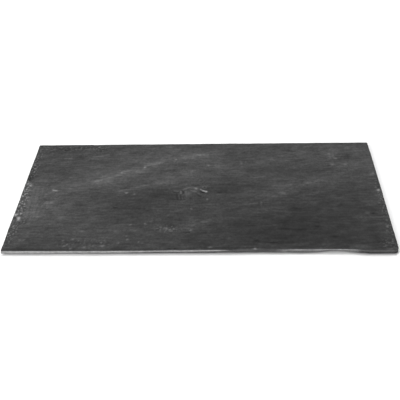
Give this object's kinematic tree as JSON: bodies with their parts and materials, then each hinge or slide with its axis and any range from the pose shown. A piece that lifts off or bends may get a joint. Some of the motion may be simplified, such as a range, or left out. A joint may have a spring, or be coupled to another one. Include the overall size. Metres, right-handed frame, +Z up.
{
  "type": "slate slab",
  "caption": "Thin rectangular slab of dark natural cleft slate with chipped hand-dressed edges, standing on small round anti-slip pads; a flat stone surface to set things on.",
  "frame": {"origin": "on the surface that the pads stand on, under the middle of the slab", "axes": "+X along the slab's long side, -Y out of the front long edge, +Z up out of the top face"},
  "size_m": [0.4, 0.2, 0.0061],
  "materials": {
    "slate": "natural cleft, matte, unpolished",
    "pad_foam": "closed-cell foam, matte",
    "adhesive_film": "translucent double-sided film, satin"
  },
  "bodies": {
    "root": {"slab": "slate", "foot_pad_front_left": "pad_foam", "foot_pad_front_right": "pad_foam", "foot_pad_back_left": "pad_foam", "foot_pad_back_right": "pad_foam", "adhesive_disc_front_left": "adhesive_film", "adhesive_disc_front_right": "adhesive_film", "adhesive_disc_back_left": "adhesive_film", "adhesive_disc_back_right": "adhesive_film"}
  },
  "joints": []
}
